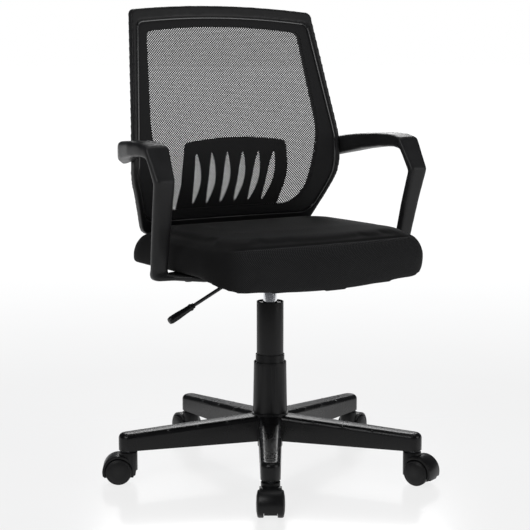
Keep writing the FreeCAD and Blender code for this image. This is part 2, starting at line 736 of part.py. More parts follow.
def crest_arc():
    """Tangent heights, centre and radius of the arc that rounds the crest of the side view."""
    upper = math.radians(BACK_RECLINE)
    lower = math.radians(BACK_TUCK)
    reach = BACK_BEND_RADIUS * math.tan((upper + lower) / 2)
    high = BACK_CREST + reach * math.cos(upper)
    low = BACK_CREST - reach * math.cos(lower)
    touch_y = BACK_CREST_Y + reach * math.sin(upper)
    centre_z = high - BACK_BEND_RADIUS * math.sin(upper)
    centre_y = touch_y + BACK_BEND_RADIUS * math.cos(upper)
    return low, high, centre_y, centre_z


def back_edge_y(z):
    """Y of the back's front face at its side edges, for a height."""
    low, high, centre_y, centre_z = crest_arc()
    if z > high:
        return BACK_CREST_Y + (z - BACK_CREST) * math.tan(math.radians(BACK_RECLINE))
    if z < low:
        return BACK_CREST_Y + (BACK_CREST - z) * math.tan(math.radians(BACK_TUCK))
    return centre_y - math.sqrt(BACK_BEND_RADIUS ** 2 - (z - centre_z) ** 2)


def back_heights():
    low, high, _, _ = crest_arc()
    steps = 6
    middle = [low + (high - low) * i / steps for i in range(steps + 1)]
    return [BACK_BOTTOM - 12] + middle + [(high + BACK_TOP_CORNER) / 2, BACK_TOP_CORNER + BACK_TOP_ARCH + 15]


def curved_slab(depth_at, thickness, heights, half=BACK_HALF_WIDEST + 10):
    """A slab bent in plan by the back's sag, whose middle lies depth_at(z) behind the side edges."""
    wires = []
    edge_sag = BACK_SAG * (half / BACK_HALF_WIDEST) ** 2
    for z in heights:
        middle = back_edge_y(z) + BACK_SAG + depth_at(z)
        edge = middle - edge_sag
        front = arc(vec(-half, edge, z), vec(0, middle, z), vec(half, edge, z))
        behind = edge + thickness
        right = line(vec(half, edge, z), vec(half, behind, z))
        rear = arc(vec(half, behind, z), vec(0, middle + thickness, z), vec(-half, behind, z))
        left = line(vec(-half, behind, z), vec(-half, edge, z))
        wires.append(Part.Wire([front, right, rear, left]))
    return Part.makeLoft(wires, True, True)


def back_slab(depth, thickness):
    return curved_slab(lambda z: depth, thickness, back_heights())


def back_outline(points):
    """A front view of the back as a long prism along Y.

    The points are (half width, height, corner radius) from the lower corner up to the top corner.
    """
    right = [vec(x, 0, z) for x, z, _ in points]
    left = [vec(-x, 0, z) for x, z, _ in reversed(points)]
    crown = arc(right[-1], vec(0, 0, right[-1].z + BACK_TOP_ARCH), left[0])
    edges = [line(a, b) for a, b in zip(right, right[1:])] + [crown]
    edges += [line(a, b) for a, b in zip(left, left[1:])] + [line(left[-1], right[0])]
    solid = closed_face(edges).extrude(vec(0, FAR, 0))
    for x, z, radius in points:
        wanted = [vec(side * x, FAR / 2, z) for side in (1, -1)]
        solid = solid.makeFillet(radius, [edge for edge in solid.Edges if runs_at(edge, wanted)])
    return solid


def runs_at(edge, wanted):
    """True if the middle of the edge is at one of the wanted places."""
    return any((edge.CenterOfMass - place).Length < 0.01 for place in wanted)


def outer_prism():
    return back_outline([
        (BACK_HALF_BOTTOM, BACK_BOTTOM, 30.0),
        (BACK_HALF_WIDEST + 1, BACK_WIDEST_LOW, BACK_CREST_ROUND),
        (BACK_HALF_WIDEST, BACK_WIDEST_HIGH, BACK_CREST_ROUND),
        (BACK_HALF_TOP, BACK_TOP_CORNER, 12.0),
    ])


def bead_prism(inset):
    """The line of the bead, inside the rim, drawn in by an inset."""
    rise = (BACK_HALF_WIDEST - BACK_HALF_BOTTOM) / (BACK_WIDEST_LOW - BACK_BOTTOM)
    side = RIM_SIDE + inset
    low = RIM_BOTTOM + inset
    return back_outline([
        (BACK_HALF_BOTTOM + rise * low - side, BACK_BOTTOM + low, 34.0),
        (BACK_HALF_WIDEST + 1 - side, BACK_WIDEST_LOW, BACK_CREST_ROUND),
        (BACK_HALF_WIDEST - side, BACK_WIDEST_HIGH, BACK_CREST_ROUND),
        (BACK_HALF_TOP - side, BACK_TOP_CORNER - RIM_TOP - inset, 14.0),
    ])


def field_prism():
    return back_outline([
        (FIELD_HALF_BOTTOM, FIELD_BOTTOM, 55.0),
        (FIELD_HALF_WIDEST, FIELD_WIDEST, 1.6 * BACK_CREST_ROUND),
        (FIELD_HALF_TOP, FIELD_TOP_CORNER, 14.0),
    ])


def back_frame():
    groove = bead_prism(0)
    rim = back_slab(0, BACK_DEPTH).common(outer_prism()).cut(groove)
    ledge_depth = MESH_SINK + MESH_THICKNESS + LEDGE_GAP
    ledge = back_slab(ledge_depth, BACK_DEPTH - ledge_depth).common(outer_prism()).cut(field_prism())
    frame = rim.fuse(ledge).removeSplitter()
    for x, z in lumbar_screw_places():
        frame = frame.cut(rail_hole(HOLE_RADIUS - 1, x, z))
    for x, z in bracket_rail_places():
        frame = frame.cut(rail_hole(HOLE_RADIUS, x, z))
    return frame


def back_mesh():
    return back_slab(MESH_SINK, MESH_THICKNESS).common(bead_prism(0.3))


def back_bead():
    """The strip that clamps the edge of the mesh into the frame."""
    return back_slab(0.6, MESH_SINK - 0.65).common(bead_prism(0.3)).cut(bead_prism(BEAD_WIDTH))


def lumbar_depth(z):
    """How far the plate's front lies behind the back's face: close at the crest, behind the rail below."""
    rail = BACK_DEPTH + 0.3
    high = LUMBAR_CLOSE
    low = FIELD_BOTTOM
    share = min(max((z - low) / (high - low), 0.0), 1.0)
    smooth = share * share * (3 - 2 * share)
    return rail + (LUMBAR_GAP - rail) * smooth


def lumbar_slot(index):
    offset = index - (SLOT_COUNT - 1) / 2
    top = vec(offset * SLOT_PITCH_TOP, 0, SLOT_TOP)
    low = vec(offset * SLOT_PITCH_BOTTOM, 0, SLOT_BOTTOM)
    middle = (top + low) * 0.5 + vec(0, 0, 12)
    left = arc(low, middle - vec(SLOT_WIDTH / 2, 0, 0), top)
    right = arc(top, middle + vec(SLOT_WIDTH / 2, 0, 0), low)
    return closed_face([left, right]).extrude(vec(0, FAR, 0))


def lumbar_plate():
    heights = [BACK_BOTTOM - 12 + 12 * i for i in range(20)]
    slab = curved_slab(lumbar_depth, LUMBAR_THICKNESS, heights, LUMBAR_HALF_WIDTH + 20)
    half = LUMBAR_HALF_WIDTH
    narrow = half - LUMBAR_TAPER
    low = BACK_BOTTOM + 6
    shoulder = LUMBAR_TOP - LUMBAR_ARCH
    edges = [
        line(vec(-narrow, 0, low), vec(narrow, 0, low)),
        line(vec(narrow, 0, low), vec(half, 0, LUMBAR_WIDEST)),
        line(vec(half, 0, LUMBAR_WIDEST), vec(narrow, 0, shoulder)),
        arc(vec(narrow, 0, shoulder), vec(0, 0, LUMBAR_TOP), vec(-narrow, 0, shoulder)),
        line(vec(-narrow, 0, shoulder), vec(-half, 0, LUMBAR_WIDEST)),
        line(vec(-half, 0, LUMBAR_WIDEST), vec(-narrow, 0, low)),
    ]
    prism = closed_face(edges).extrude(vec(0, FAR, 0))
    wanted = [vec(side * narrow, FAR / 2, shoulder) for side in (1, -1)]
    corners = [edge for edge in prism.Edges if runs_at(edge, wanted)]
    plate = slab.common(prism.makeFillet(LUMBAR_CORNER, corners))
    for index in range(SLOT_COUNT):
        plate = plate.cut(lumbar_slot(index))
    for x, z in lumbar_screw_places() + bracket_rail_places():
        plate = plate.cut(rail_hole(HOLE_RADIUS + 0.2, x, z))
    return plate


def lumbar_screw_places():
    z = BACK_BOTTOM + RAIL_SCREW_RISE
    return [(sx * x, z) for sx in (1, -1) for x in LUMBAR_SCREWS]


def bracket_rail_places():
    return [(sx * BRACKET_WIDTH / 4, BACK_BOTTOM + RAIL_SCREW_RISE) for sx in (1, -1)]


def rail_rear_y(x, z):
    """Y of the rear face of the lower rail."""
    return back_edge_y(z) + BACK_SAG * (1 - (x / BACK_HALF_WIDEST) ** 2) + BACK_DEPTH


def rail_normal():
    """Points squarely out of the lower rail's rear face."""
    tuck = math.radians(BACK_TUCK)
    return vec(0, math.cos(tuck), math.sin(tuck))


def rail_hole(radius, x, z):
    centre = vec(x, rail_rear_y(x, z), z)
    return rod_along(radius, centre - rail_normal() * 60, rail_normal(), 120)


def rear_screw(x, z, stack, head_radius, head, radius, reach):
    """A screw square to the rail's rear face, whose head lies a stack of pieces behind it."""
    seat = vec(x, rail_rear_y(x, z), z) + rail_normal() * stack
    cap = rod_along(head_radius, seat, rail_normal(), head)
    return cap.fuse(rod_along(radius, seat - rail_normal() * reach, rail_normal(), reach + 0.5))


def lumbar_stack():
    """Distance, square to the rail, from its rear face to the rear of the plate on it."""
    return (0.3 + LUMBAR_THICKNESS) * math.cos(math.radians(BACK_TUCK)) + 0.1


def lumbar_screws():
    screws = [rear_screw(x, z, lumbar_stack() + 0.2, 5.0, 2.4, HOLE_RADIUS - 1.1, 14.0)
              for x, z in lumbar_screw_places()]
    return Part.makeCompound(screws)


def back_bracket():
    """Bent steel strap from the underside of the seat panel to the rear of the lower rail."""
    top = plate_top()
    steel = BRACKET_STEEL
    half = BRACKET_WIDTH / 2
    gap = 0.3 + LUMBAR_THICKNESS + 0.4
    foot_z = BACK_BOTTOM
    head_z = BACK_BOTTOM + RIM_BOTTOM + 4
    foot_y = rail_rear_y(0, foot_z) + gap
    head_y = rail_rear_y(0, head_z) + gap
    slope = math.tan(math.radians(BACK_TUCK))
    turn_y = foot_y + slope * (foot_z - top) * 0.55
    points = [
        (PLATE_REAR + 6, top), (turn_y - 4, top), (turn_y, top + 4), (foot_y, foot_z), (head_y, head_z),
        (head_y + steel, head_z + 1), (foot_y + steel + 0.6, foot_z + 1), (turn_y + steel + 0.4, top + 3),
        (turn_y - 1, top - steel), (PLATE_REAR + 6, top - steel),
    ]
    face = polygon_face([vec(-half, y, z) for y, z in points])
    strap = face.extrude(vec(BRACKET_WIDTH, 0, 0))
    for x, y in bracket_bolt_places():
        strap = strap.cut(cylinder(HOLE_RADIUS, top - 10, top + 5, x, y))
    for x, z in bracket_rail_places():
        strap = strap.cut(rail_hole(HOLE_RADIUS, x, z))
    return strap


def upward_bolt(x, y, face, reach):
    """A bolt whose head lies under a face and whose shank points up."""
    head = cylinder(HEAD_RADIUS, face - HEAD_HEIGHT, face, x, y)
    return head.fuse(cylinder(FASTENER_RADIUS, face - 1, face + reach, x, y))


def back_bracket_bolts():
    bolts = []
    for x, y in bracket_bolt_places():
        face = plate_top() - BRACKET_STEEL
        bolts.append(upward_bolt(x, y, face, BRACKET_STEEL + 9))
    stack = lumbar_stack() + 0.4 + BRACKET_STEEL
    for x, z in bracket_rail_places():
        bolts.append(rear_screw(x, z, stack + 0.4, HEAD_RADIUS, HEAD_HEIGHT, FASTENER_RADIUS, 20.0))
    return Part.makeCompound(bolts)


def seat_plate_bolts():
    face = plate_top() - PLATE_STEEL
    return Part.makeCompound([upward_bolt(x, y, face, PLATE_STEEL + 9) for x, y in seat_bolt_places()])


# ---------------------------------------------------------------- armrests


def arm_stations():
    stations = []
    for datum, group in ((BACK_HALF_WIDEST, ARM_BACK_STATIONS), (SEAT_HALF_WIDTH, ARM_SEAT_STATIONS)):
        for outer_y, outer_z, inner_y, inner_z, far, near in group:
            heights = (SEAT_TOP + outer_z, SEAT_TOP + inner_z)
            stations.append((outer_y, heights[0], inner_y, heights[1], datum + far, datum + near))
    return stations


def arm_section(outer_y, outer_z, inner_y, inner_z, far_x, near_x):
    """An eight-sided section of the band between its outer and inner face."""
    outer = vec(0, outer_y, outer_z)
    inner = vec(0, inner_y, inner_z)
    depth = (inner - outer).normalize()
    side = min(ARM_EDGE, (far_x - near_x) * 0.3)
    corners = []
    for base, x, turn_x, turn_d in (
        (outer, near_x, 0, 1), (outer, near_x, 1, 0), (outer, far_x, -1, 0), (outer, far_x, 0, 1),
        (inner, far_x, 0, -1), (inner, far_x, -1, 0), (inner, near_x, 1, 0), (inner, near_x, 0, -1),
    ):
        corners.append(base + vec(x + turn_x * side, 0, 0) + depth * (turn_d * side))
    return Part.makePolygon(corners + [corners[0]])


def arm_foot():
    """Plate that turns in under the seat and fans forwards to its bolts."""
    top = plate_top()
    front, ankle, rear, _, far, near = arm_stations()[-1]
    plan = [
        (far, front), (far, rear), (near - 4, rear + 14), (near - 60, rear + 34), (near - 84, rear + 20),
        (near - 84, front - 30), (near - 62, front - 56), (near - 38, front - 50), (near - 4, front - 8),
    ]
    low = top - ARM_FOOT_THICKNESS
    face = polygon_face([vec(x, y, low) for x, y in plan])
    foot = face.extrude(vec(0, 0, ARM_FOOT_THICKNESS))
    heel = box((near, far), (front, rear), (low + 1, ankle))
    foot = foot.fuse(heel)
    corner = Part.makeCylinder(12.0, 100, vec(far - 12, front - 20, low + 12), vec(0, 1, 0))
    block = box((far - 12, far + 5), (front - 20, front + 80), (low - 5, low + 12))
    return foot.cut(block.cut(corner))


def arm_frame_bolt_places():
    heights = [SEAT_TOP + rise for rise in ARM_SCREW_HEIGHTS]
    return [(back_edge_y(z) + BACK_DEPTH - 2.0, z) for z in heights]


def left_arm():
    """The armrest on the +X side, the sitter's left: pad, sloping front, upright and foot in one moulding."""
    sections = [arm_section(*station) for station in arm_stations()]
    arm = Part.makeLoft(sections, True, True).fuse(arm_foot()).removeSplitter()
    top = plate_top()
    for x, y in one_arm_bolts():
        arm = arm.cut(cylinder(HOLE_RADIUS, top - 30, top + 3, x, y))
    for y, z in arm_frame_bolt_places():
        arm = arm.cut(rod_along(ARM_SCREW_RADIUS + 0.1, vec(0, y, z), vec(1, 0, 0), ARM_SCREW_END + 0.5))
    return arm


def arm_foot_bolts():
    face = plate_top() - ARM_FOOT_THICKNESS
    places = arm_bolt_places()
    return Part.makeCompound([upward_bolt(x, y, face, ARM_FOOT_THICKNESS + 9) for x, y in places])


def field_half(z):
    """Half width of the open field below its widest height."""
    share = (z - FIELD_BOTTOM) / (FIELD_WIDEST - FIELD_BOTTOM)
    return FIELD_HALF_BOTTOM + (FIELD_HALF_WIDEST - FIELD_HALF_BOTTOM) * share


def arm_back_bolts():
    """Screws from inside each side rail into the end of the armrest."""
    head_radius = ARM_SCREW_RADIUS + 0.9
    head_height = 2.4
    screws = []
    for y, z in arm_frame_bolt_places():
        start = field_half(z - head_radius) - head_height - 0.3
        head = rod_along(head_radius, vec(start, y, z), vec(1, 0, 0), head_height)
        shank = rod_along(ARM_SCREW_RADIUS, vec(start + 1, y, z), vec(1, 0, 0), ARM_SCREW_END - start - 1)
        screw = head.fuse(shank)
        screws += [screw, mirrored(screw)]
    return Part.makeCompound(screws)


def back_frame_with_arm_holes():
    frame = back_frame()
    for y, z in arm_frame_bolt_places():
        frame = frame.cut(rod_along(ARM_SCREW_RADIUS + 0.1, vec(-FAR, y, z), vec(1, 0, 0), 2 * FAR))
    return frame


def all_nodes():
    nodes = {
        "star_base": star_base(),
        "caster_stems": at_each_stem(caster_stem()),
        "stem_sockets": at_each_stem(ring(STEM_RADIUS + SOCKET_WALL, STEM_RADIUS, BASE_BOTTOM, STEM_TOP)),
        "column_tube": column_tube(),
        "column_bush": column_bush(),
        "thrust_bearing": thrust_bearing(),
        "lower_sleeve": lower_sleeve(),
        "middle_sleeve": middle_sleeve(),
        "upper_sleeve": upper_sleeve(),
        "piston_rod": piston_rod(),
        "piston": piston(),
        "rod_clip": rod_clip(),
        "rod_bumper": bumper(),
        "pressure_tube": pressure_tube(),
        "rod_seal": rod_seal(),
        "valve_button": valve_button(),
        "seat_plate": seat_plate(),
        "seat_plate_bolts": seat_plate_bolts(),
        "lever_rod": lever_rod(),
        "lever_grip": lever_grip(),
        "lever_pivot_pin": lever_pivot_pin(),
        "seat_panel": seat_panel(),
        "seat_underside_cover": seat_underside_cover(),
        "seat_cushion": seat_cushion(),
        "left_arm": left_arm(),
        "right_arm": mirrored(left_arm()),
        "arm_foot_bolts": arm_foot_bolts(),
        "arm_back_bolts": arm_back_bolts(),
        "back_frame": back_frame_with_arm_holes(),
        "back_bead": back_bead(),
        "back_mesh": back_mesh(),
        "lumbar_plate": lumbar_plate(),
        "lumbar_screws": lumbar_screws(),
        "back_bracket": back_bracket(),
        "back_bracket_bolts": back_bracket_bolts(),
    }
    hood = caster_hood()
    axle = caster_axle()
    for index in range(LEG_COUNT):
        number = index + 1
        nodes[f"caster_hood_{number}"] = placed_caster(hood, index)
        nodes[f"caster_axle_{number}"] = placed_caster(axle, index)
        nodes[f"wheel_left_{number}"] = placed_caster(caster_wheel(1), index)
        nodes[f"wheel_right_{number}"] = placed_caster(caster_wheel(-1), index)
    return nodes


os.makedirs("parts", exist_ok=True)
for name, shape in all_nodes().items():
    shape.exportStep(f"parts/{name}.step")
    print(f"{name}: {len(shape.Solids)} solids, {shape.Volume / 1000:.1f} cm3, valid {shape.isValid()}")
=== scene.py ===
# %% [markdown]
# A swivel office chair: a mesh back in a moulded hoop, a padded seat, two loop armrests, a gas lift under a
# telescopic cover and a five-legged base on twin-wheel casters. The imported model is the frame: it says
# where every piece is, and nothing here moves it. This file gives each piece its finish, and models again
# the pieces whose real shape is softer or finer than the frame's.

# %% Load the frame
import bpy
import bmesh
import json
import math
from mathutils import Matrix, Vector
from mathutils.bvhtree import BVHTree


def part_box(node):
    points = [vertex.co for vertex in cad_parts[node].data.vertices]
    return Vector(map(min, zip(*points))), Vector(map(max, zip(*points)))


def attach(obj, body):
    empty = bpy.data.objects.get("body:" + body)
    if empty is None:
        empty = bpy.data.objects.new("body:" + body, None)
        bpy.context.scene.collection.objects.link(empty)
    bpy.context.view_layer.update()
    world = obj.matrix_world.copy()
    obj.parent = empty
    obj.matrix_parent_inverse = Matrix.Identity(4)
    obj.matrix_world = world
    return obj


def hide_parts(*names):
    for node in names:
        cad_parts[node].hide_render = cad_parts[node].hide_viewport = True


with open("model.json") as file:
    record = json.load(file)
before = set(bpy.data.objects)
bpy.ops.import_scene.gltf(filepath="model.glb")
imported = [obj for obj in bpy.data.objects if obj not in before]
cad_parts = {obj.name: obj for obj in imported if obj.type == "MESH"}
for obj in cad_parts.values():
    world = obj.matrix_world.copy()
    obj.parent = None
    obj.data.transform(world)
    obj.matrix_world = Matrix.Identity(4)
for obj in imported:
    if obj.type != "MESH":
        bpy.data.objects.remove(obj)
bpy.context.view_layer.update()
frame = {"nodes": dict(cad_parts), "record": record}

nodes = frame["nodes"]

MM = 0.001

# %% [markdown]
# The chair is seen from its right-hand front corner, a little above the seat, with a long lens, so that
# upright lines stay nearly parallel. The camera is placed in metres, and aimed by its turn about the
# upright axis and its tilt below level, in degrees.

# %% Camera
CAMERA_PLACE = (-1.550, -2.359, 0.8195)
CAMERA_TURN = -33.1
CAMERA_DOWN = 8.09
CAMERA_LENS = 97.3
CAMERA_SENSOR = 36
CAMERA_REACH = 400
UPRIGHT = 90

bpy.ops.object.camera_add(location=CAMERA_PLACE)
camera = bpy.context.object
camera.name = "camera"
camera.rotation_euler = (math.radians(UPRIGHT - CAMERA_DOWN), 0, math.radians(CAMERA_TURN))
camera.data.lens = CAMERA_LENS
camera.data.sensor_width = CAMERA_SENSOR
camera.data.clip_end = CAMERA_REACH
bpy.context.scene.camera = camera
print(f"camera at {Vector(CAMERA_PLACE).length:.2f} m from the foot of the column, lens {CAMERA_LENS} mm")

# %% [markdown]
# A black object on a white ground needs light that it can mirror: broad panels left and right draw the soft
# lines along rounded edges, and a panel overhead shapes the top of the seat. The room itself is dim,
# because a bright one would turn every surface seen at a low angle grey, yet the backdrop behind the chair
# is white: only rays that come straight from the camera see that white.

# %% Studio light
LIGHTS = (
    # name, place in metres, side in metres, power in watts
    ("key_panel", (-2.6, -1.2, 2.4), 1.6, 42),
    ("fill_panel", (1.9, -2.6, 1.5), 1.6, 24),
    ("top_panel", (0.3, 0.2, 3.0), 2.2, 20),
    ("rim_panel", (1.6, 2.4, 2.0), 1.5, 40),
)
AIM = Vector((0, 0, 0.5))
ROOM_COLOUR = (0.10, 0.103, 0.11, 1)
BACKDROP_COLOUR = (1.0, 1.0, 1.0, 1)

for name, place, size, power in LIGHTS:
    bpy.ops.object.light_add(type="AREA", location=place)
    panel = bpy.context.object
    panel.name = name
    panel.data.size = size
    panel.data.energy = power
    panel.rotation_euler = (AIM - Vector(place)).to_track_quat("-Z", "Y").to_euler()

world = bpy.data.worlds.new("studio")
world.use_nodes = True
bpy.context.scene.world = world
sky = world.node_tree
backdrop = sky.nodes["Background"]
ray = sky.nodes.new("ShaderNodeLightPath")
room = sky.nodes.new("ShaderNodeMix")
room.data_type = "RGBA"
room.inputs["A"].default_value = ROOM_COLOUR
room.inputs["B"].default_value = BACKDROP_COLOUR
sky.links.new(ray.outputs["Is Camera Ray"], room.inputs["Factor"])
sky.links.new(room.outputs["Result"], backdrop.inputs["Color"])
bpy.context.scene.view_settings.view_transform = "Standard"
print(f"{len(LIGHTS)} light panels, {sum(power for *_, power in LIGHTS)} W in all")

# %% [markdown]
# Every finish is a Principled shader fed by a few noise patterns on Object coordinates, so a grain has its
# real size in metres on every piece. An image would have to be unwrapped and tiled for that. The helpers
# below keep each recipe to a few lines.


# %% Material helpers
class Finish:
    """A material and short ways to add and join its nodes."""

    def __init__(self, name):
        self.material = bpy.data.materials.new(name)
        self.material.use_nodes = True
        self.tree = self.material.node_tree
        self.shader = self.tree.nodes["Principled BSDF"]
        self.place = self.add("ShaderNodeTexCoord").outputs["Object"]

    def add(self, kind, **values):
        made = self.tree.nodes.new(kind)
        for key, value in values.items():
            setattr(made, key, value)
        return made

    def link(self, source, node, socket):
        self.tree.links.new(source, node.inputs[socket])

    def noise(self, size, detail, rough=0.5, stretch=None):
        """A noise whose bumps are about size metres across; stretch packs it closer along an axis."""
        made = self.add("ShaderNodeTexNoise")
        made.inputs["Scale"].default_value = 1.0 / size
        made.inputs["Detail"].default_value = detail
        made.inputs["Roughness"].default_value = rough
        source = self.place
        if stretch:
            mapping = self.add("ShaderNodeMapping")
            mapping.inputs["Scale"].default_value = stretch
            self.link(source, mapping, "Vector")
            source = mapping.outputs["Vector"]
        self.link(source, made, "Vector")
        return made.outputs["Fac"]

    def ramp(self, source, *stops):
        """Maps a value to colours or greys: each stop is (place, colour or grey)."""
        made = self.add("ShaderNodeValToRGB")
        elements = made.color_ramp.elements
        while len(elements) < len(stops):
            elements.new(0.5)
        for element, (place, colour) in zip(elements, stops):
            element.position = place
            element.color = colour if hasattr(colour, "__len__") else (colour, colour, colour, 1)
        self.link(source, made, "Fac")
        return made.outputs["Color"]

    def math(self, kind, a, b=0.0):
        """One sum on values: a and b are numbers or other nodes' outputs."""
        made = self.add("ShaderNodeMath", operation=kind)
        for index, value in enumerate((a, b)):
            if hasattr(value, "is_linked"):
                self.tree.links.new(value, made.inputs[index])
            else:
                made.inputs[index].default_value = value
        return made.outputs["Value"]

    def bump(self, source, depth, strength, under=None):
        """Raises the surface by a value times depth metres, on top of the bump given as under."""
        made = self.add("ShaderNodeBump")
        made.inputs["Strength"].default_value = strength
        made.inputs["Distance"].default_value = depth
        self.link(source, made, "Height")
        if under is not None:
            self.link(under, made, "Normal")
        self.link(made.outputs["Normal"], self.shader, "Normal")
        return made.outputs["Normal"]

    def set(self, **values):
        """Sets sockets of the shader, each named with _ for a space."""
        for key, value in values.items():
            self.shader.inputs[key.replace("_", " ")].default_value = value


BLUE_CAST = 1.06


def grey(level):
    """A near-neutral dark colour, slightly blue, as black plastics are."""
    return (level, level, level * BLUE_CAST, 1)


print(f"a grey of 0.01 is the colour {grey(0.01)}")

# %% [markdown]
# The moulded black plastics differ in grain and gloss. Each has a spark-eroded grain as a fine bump, and a
# slow change of tone and gloss in patches, as handled plastic has. The glossy bead and the pale bearing
# parts are the same recipe with other numbers.


# %% Moulded plastics
PATCH_SIZE = 50 * MM
GRAIN_STRENGTH = 0.6
DULLER = 0.05
GLOSSIER = 0.04


def moulded(name, level, gloss, grain, depth, worn=1.5, shine=0.22):
    """Moulded plastic: level is its grey, gloss its roughness, grain and depth its texture in millimetres."""
    finish = Finish(name)
    cloud = finish.noise(PATCH_SIZE, detail=3.0)
    fine = finish.noise(grain * MM, detail=1.0)
    tone = finish.ramp(cloud, (0.35, grey(level)), (0.65, grey(level * worn)))
    finish.link(tone, finish.shader, "Base Color")
    dull = finish.ramp(cloud, (0.3, gloss - GLOSSIER), (0.7, gloss + DULLER))
    finish.link(dull, finish.shader, "Roughness")
    finish.set(Specular_IOR_Level=shine)
    finish.bump(fine, depth * MM, GRAIN_STRENGTH)
    return finish.material


frame_plastic = moulded("satin_frame_plastic", level=0.0045, gloss=0.36, grain=0.8, depth=0.12)
arm_plastic = moulded("satin_arm_plastic", level=0.0075, gloss=0.40, grain=0.7, depth=0.10)
base_nylon = moulded("grained_base_nylon", level=0.0035, gloss=0.28, grain=2.2, depth=0.40)
caster_plastic = moulded("caster_hood_plastic", level=0.0045, gloss=0.34, grain=0.9, depth=0.12)
wheel_plastic = moulded("wheel_plastic", level=0.0045, gloss=0.42, grain=0.8, depth=0.10)
sleeve_plastic = moulded("sleeve_plastic", level=0.0045, gloss=0.40, grain=0.7, depth=0.08)
bead_gloss = moulded("bead_plastic", level=0.006, gloss=0.14, grain=1.5, depth=0.02, shine=0.6)
lever_plastic = moulded("lever_plastic", level=0.005, gloss=0.34, grain=0.8, depth=0.08)
bearing_plastic = moulded("acetal_plastic", level=0.62, gloss=0.40, grain=1.0, depth=0.04,
                          worn=1.06, shine=0.5)
bumper_rubber = moulded("bumper_rubber", level=0.016, gloss=0.75, grain=0.9, depth=0.15)
print(f"{len(bpy.data.materials)} plastics and rubber made")

# %% [markdown]
# The metal parts are mostly out of sight. The pressure tube is hard chrome with faint turning marks, bolts
# are zinc plated, and the pressed plate and the strap are powder coated, so they count as no metal to the
# shader.


# %% Metals
DARKER = 0.85
DULL_MARKS = 0.12
EVEN = (1.0, 1.0, 1.0)
TURNED = (0.4, 0.4, 8.0)


def metal(name, colour, gloss, marks, metallic=1.0):
    """Metal with fine marks; marks is the stretch of the noise that draws them."""
    finish = Finish(name)
    finish.set(Metallic=metallic)
    lines = finish.noise(2 * MM, detail=3.0, rough=0.6, stretch=marks)
    shade = tuple(channel * DARKER for channel in colour)
    tone = finish.ramp(lines, (0.3, shade + (1,)), (0.7, colour + (1,)))
    finish.link(tone, finish.shader, "Base Color")
    finish.link(finish.ramp(lines, (0.2, gloss), (0.8, gloss + DULL_MARKS)), finish.shader, "Roughness")
    finish.bump(lines, depth=0.04 * MM, strength=0.4)
    return finish.material


chrome = metal("hard_chrome", (0.82, 0.83, 0.85), gloss=0.06, marks=TURNED)
zinc = metal("zinc_steel", (0.60, 0.61, 0.63), gloss=0.28, marks=EVEN)
powder_steel = metal("powder_coated_steel", (0.020, 0.020, 0.022), gloss=0.42, marks=EVEN, metallic=0.0)
print(f"metals: {chrome.name}, {zinc.name} and {powder_steel.name}")

# %% [markdown]
# Moulded plywood shows long grain, and the cloth under the seat is a felted black sheet of random fibres.
# Both are one noise each: stretched along the board for the wood, and very fine and rough for the felt.


# %% Wood and felt
DARK_WOOD = (0.42, 0.27, 0.14, 1)
PALE_WOOD = (0.62, 0.45, 0.28, 1)
ALONG_Y = (12.0, 1.0, 12.0)


def plywood():
    finish = Finish("moulded_plywood")
    grain = finish.noise(12 * MM, detail=6.0, rough=0.65, stretch=ALONG_Y)
    finish.link(finish.ramp(grain, (0.3, DARK_WOOD), (0.7, PALE_WOOD)), finish.shader, "Base Color")
    finish.set(Roughness=0.6)
    finish.bump(grain, depth=0.2 * MM, strength=0.5)
    return finish.material


def felt():
    finish = Finish("black_felt")
    fibres = finish.noise(1.2 * MM, detail=4.0, rough=0.8)
    finish.link(finish.ramp(fibres, (0.3, grey(0.012)), (0.75, grey(0.03))), finish.shader, "Base Color")
    finish.set(Roughness=0.95)
    finish.bump(fibres, depth=0.4 * MM, strength=0.8)
    return finish.material


panel_wood = plywood()
cover_cloth = felt()
print(f"board: {panel_wood.name}, cloth under the seat: {cover_cloth.name}")

# %% [markdown]
# A seat cover is woven cloth: the top and the sides are a close, soft weave, and the front band is an air
# mesh with small staggered holes. The holes are the peaks of two sine waves multiplied together. Their dots
# are coloured lighter than the weave, partly as the mesh's own pattern and partly as a painted sheen
# highlight on the front band. They follow the surface round the corners, so they read an attribute that
# holds the distance along the edge and the height, and a second one says where the band is.


# %% Seat cloth
HOLE_PITCH = 3.7 * MM
HOLE_EDGE = (0.10, 0.45)
CLOTH_GREYS = (0.0022, 0.0036)
# Colour added on the hole dots: the mesh's lighter dots, raised further as a painted sheen highlight on the
# front band.
HOLE_DOTS_AND_PAINTED_SHEEN = (0.026, 0.0267, 0.028, 1)
BLACK = (0, 0, 0, 1)


